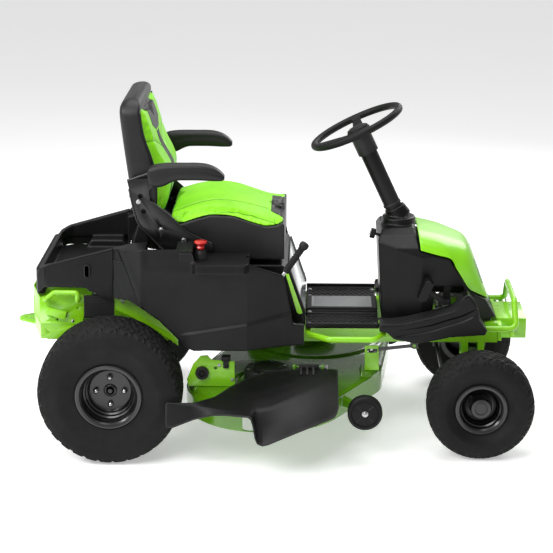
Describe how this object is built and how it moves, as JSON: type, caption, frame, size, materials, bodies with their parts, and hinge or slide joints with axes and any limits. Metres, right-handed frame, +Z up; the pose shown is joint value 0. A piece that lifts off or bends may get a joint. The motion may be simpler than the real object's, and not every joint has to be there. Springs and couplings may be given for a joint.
{
  "type": "riding lawn mower",
  "caption": "Battery ride-on lawn tractor with rear cargo bed, padded seat with armrests, tilted steering wheel, tube bumper and side-discharge mowing deck.",
  "frame": {"origin": "ground point under the middle of the whole machine's bounding box", "axes": "+X forward along the machine, +Y to the operator's left, +Z up"},
  "size_m": [1.8804, 1.223, 1.2409],
  "materials": {
    "frame_green": "gloss powder coat",
    "hood_green": "gloss moulded plastic",
    "deck_green": "gloss powder coat",
    "body_plastic": "fine textured matte",
    "soft_black": "satin",
    "seat_vinyl": "grained vinyl",
    "black_steel": "satin black paint",
    "bare_steel": "brushed",
    "cast_metal": "cast",
    "battery_shell": "matte",
    "tyre": "matte rubber",
    "gauge_rubber": "matte",
    "lamp_lens": "clear",
    "red_knob": "gloss"
  },
  "bodies": {
    "chassis": {"main_frame": "frame_green", "rear_frame_box": "frame_green", "tie_down_handles": "frame_green", "tow_hitch": "frame_green", "side_steps": "frame_green", "front_bumper": "frame_green", "transaxle": "cast_metal", "battery_packs": "battery_shell", "cargo_bed": "body_plastic", "fender_right": "body_plastic", "fender_left": "body_plastic", "seat_pedestal": "body_plastic", "floorboard": "body_plastic", "front_fenders": "body_plastic", "console_tower": "body_plastic", "hood": "hood_green", "headlamps": "lamp_lens", "steering_column": "soft_black"},
    "steering_wheel": {"steering_wheel": "soft_black", "steering_shaft": "bare_steel"},
    "sector": {"sector_gear": "bare_steel"},
    "drag_link": {"drag_link": "black_steel"},
    "front_axle": {"axle_beam": "black_steel"},
    "spindle_left": {"spindle_left": "black_steel"},
    "spindle_right": {"spindle_right": "black_steel"},
    "tie_rod": {"tie_rod": "black_steel"},
    "seat_slide": {"seat_slide_plate": "black_steel"},
    "seat": {"seat_pan": "body_plastic", "seat_cushion": "seat_vinyl", "seat_back_shell": "body_plastic", "seat_back_cushion": "seat_vinyl", "seat_back_brackets": "black_steel"},
    "deck": {"deck_shell": "deck_green", "deck_brackets": "frame_green", "blade_motors": "cast_metal"},
    "chute": {"discharge_chute": "body_plastic"},
    "deck_link": {"deck_front_link": "black_steel"},
    "lift_lever": {"lift_lever": "soft_black"},
    "drive_pedal": {"drive_pedal": "soft_black"},
    "brake_pedal": {"brake_pedal": "soft_black"},
    "pto_knob": {"pto_knob": "red_knob"},
    "dash_knob": {"dash_knob": "soft_black"},
    "front_wheel_right": {"front_tyre_right": "tyre", "front_rim_right": "black_steel"},
    "rear_wheel_right": {"rear_tyre_right": "tyre", "rear_rim_right": "black_steel", "rear_lug_nuts_right": "bare_steel", "rear_axle_right": "bare_steel"},
    "armrest_right": {"armrest_right": "body_plastic"},
    "blade_right": {"blade_right": "bare_steel"},
    "gauge_wheel_right": {"gauge_wheel_right": "gauge_rubber"},
    "front_wheel_left": {"front_tyre_left": "tyre", "front_rim_left": "black_steel"},
    "rear_wheel_left": {"rear_tyre_left": "tyre", "rear_rim_left": "black_steel", "rear_lug_nuts_left": "bare_steel", "rear_axle_left": "bare_steel"},
    "armrest_left": {"armrest_left": "body_plastic"},
    "blade_left": {"blade_left": "bare_steel"},
    "gauge_wheel_left": {"gauge_wheel_left": "gauge_rubber"}
  },
  "joints": [
    {"name": "rear_right_spin", "type": "hinge", "parent": "chassis", "child": "rear_wheel_right", "pos_m": [-0.55225, -0.3785, 0.254], "axis": [0, 1, 0], "continuous": true},
    {"name": "rear_left_spin", "type": "hinge", "parent": "chassis", "child": "rear_wheel_left", "pos_m": [-0.55225, 0.4915, 0.254], "axis": [0, 1, 0], "continuous": true},
    {"name": "axle_rock", "type": "hinge", "parent": "chassis", "child": "front_axle", "pos_m": [0.74975, 0.0565, 0.26], "axis": [1, 0, 0], "range_deg": [-2.5, 2.5]},
    {"name": "steer_left", "type": "hinge", "parent": "front_axle", "child": "spindle_left", "pos_m": [0.74975, 0.3265, 0.2], "axis": [0, 0, 1], "range_deg": [-30, 30]},
    {"name": "steer_right", "type": "hinge", "parent": "front_axle", "child": "spindle_right", "pos_m": [0.74975, -0.2135, 0.2], "axis": [0, 0, 1], "range_deg": [-30, 30]},
    {"name": "tie_rod_pivot", "type": "hinge", "parent": "spindle_left", "child": "tie_rod", "pos_m": [0.63975, 0.3265, 0.195], "axis": [0, 0, 1], "range_deg": [-30, 30]},
    {"name": "front_right_spin", "type": "hinge", "parent": "spindle_right", "child": "front_wheel_right", "pos_m": [0.74975, -0.3355, 0.1905], "axis": [0, 1, 0], "continuous": true},
    {"name": "front_left_spin", "type": "hinge", "parent": "spindle_left", "child": "front_wheel_left", "pos_m": [0.74975, 0.4485, 0.1905], "axis": [0, 1, 0], "continuous": true},
    {"name": "steering_turn", "type": "hinge", "parent": "chassis", "child": "steering_wheel", "pos_m": [0.31075, 0.0565, 1.109], "axis": [-0.4226, 0, 0.9063], "range_deg": [-180, 180]},
    {"name": "sector_turn", "type": "hinge", "parent": "chassis", "child": "sector", "pos_m": [0.54799, 0.0565, 0.3932], "axis": [-0.4226, 0, 0.9063], "range_deg": [-30, 30]},
    {"name": "drag_link_pivot", "type": "hinge", "parent": "sector", "child": "drag_link", "pos_m": [0.44829, 0.0565, 0.34671], "axis": [-0.4226, 0, 0.9063], "range_deg": [-30, 30]},
    {"name": "seat_track", "type": "slide", "parent": "chassis", "child": "seat_slide", "axis": [1, 0, 0], "range_m": [-0.04, 0.08]},
    {"name": "seat_tilt", "type": "hinge", "parent": "seat_slide", "child": "seat", "pos_m": [0.03775, 0.0565, 0.684], "axis": [0, 1, 0], "range_deg": [0, 50]},
    {"name": "armrest_right_fold", "type": "hinge", "parent": "seat", "child": "armrest_right", "pos_m": [-0.39225, -0.2335, 0.985], "axis": [0, -1, 0], "range_deg": [0, 90]},
    {"name": "armrest_left_fold", "type": "hinge", "parent": "seat", "child": "armrest_left", "pos_m": [-0.39225, 0.3465, 0.985], "axis": [0, -1, 0], "range_deg": [0, 90]},
    {"name": "deck_height", "type": "slide", "parent": "chassis", "child": "deck", "axis": [0, 0, -1], "range_m": [0, 0.075]},
    {"name": "lever_swing", "type": "hinge", "parent": "chassis", "child": "lift_lever", "pos_m": [-0.04725, -0.2485, 0.489], "axis": [0, 1, 0], "range_deg": [0, 22.1]},
    {"name": "link_swing", "type": "hinge", "parent": "chassis", "child": "deck_link", "pos_m": [0.52775, -0.0935, 0.328], "axis": [0, -1, 0], "range_deg": [0, 30.1]},
    {"name": "chute_lift", "type": "hinge", "parent": "deck", "child": "chute", "pos_m": [0.14775, -0.2735, 0.305], "axis": [-1, 0, 0], "range_deg": [0, 42]},
    {"name": "blade_right_spin", "type": "hinge", "parent": "deck", "child": "blade_right", "pos_m": [-0.00725, -0.2085, 0.16], "axis": [0, 0, 1], "continuous": true},
    {"name": "blade_left_spin", "type": "hinge", "parent": "deck", "child": "blade_left", "pos_m": [0.16275, 0.3215, 0.16], "axis": [0, 0, 1], "continuous": true},
    {"name": "gauge_right_spin", "type": "hinge", "parent": "deck", "child": "gauge_wheel_right", "pos_m": [0.34075, -0.4235, 0.19], "axis": [0, 1, 0], "continuous": true},
    {"name": "gauge_left_spin", "type": "hinge", "parent": "deck", "child": "gauge_wheel_left", "pos_m": [0.45975, 0.5225, 0.19], "axis": [0, 1, 0], "continuous": true},
    {"name": "drive_press", "type": "hinge", "parent": "chassis", "child": "drive_pedal", "pos_m": [0.62575, -0.1175, 0.62], "axis": [0, -1, 0], "range_deg": [0, 15], "stiffness_Nm_per_rad": 8, "springref_deg": -6.88},
    {"name": "brake_press", "type": "hinge", "parent": "chassis", "child": "brake_pedal", "pos_m": [0.62575, 0.2305, 0.62], "axis": [0, -1, 0], "range_deg": [0, 15], "stiffness_Nm_per_rad": 8, "springref_deg": -6.88},
    {"name": "pto_pull", "type": "slide", "parent": "chassis", "child": "pto_knob", "axis": [0, 0, 1], "range_m": [0, 0.012]},
    {"name": "dash_knob_turn", "type": "hinge", "parent": "chassis", "child": "dash_knob", "pos_m": [0.38375, -0.0435, 0.735], "axis": [-0.9703, 0, 0.2419], "range_deg": [0, 90]}
  ],
  "couplings": [
    {"joint": "steer_right", "follows": "steer_left", "ratio": 1},
    {"joint": "tie_rod_pivot", "follows": "steer_left", "ratio": -1},
    {"joint": "sector_turn", "follows": "steer_left", "ratio": 1},
    {"joint": "drag_link_pivot", "follows": "steer_left", "ratio": -1},
    {"joint": "steering_turn", "follows": "steer_left", "ratio": 6},
    {"joint": "lever_swing", "follows": "deck_height", "rad_per_m": 5.1196},
    {"joint": "link_swing", "follows": "deck_height", "rad_per_m": 6.9813}
  ]
}
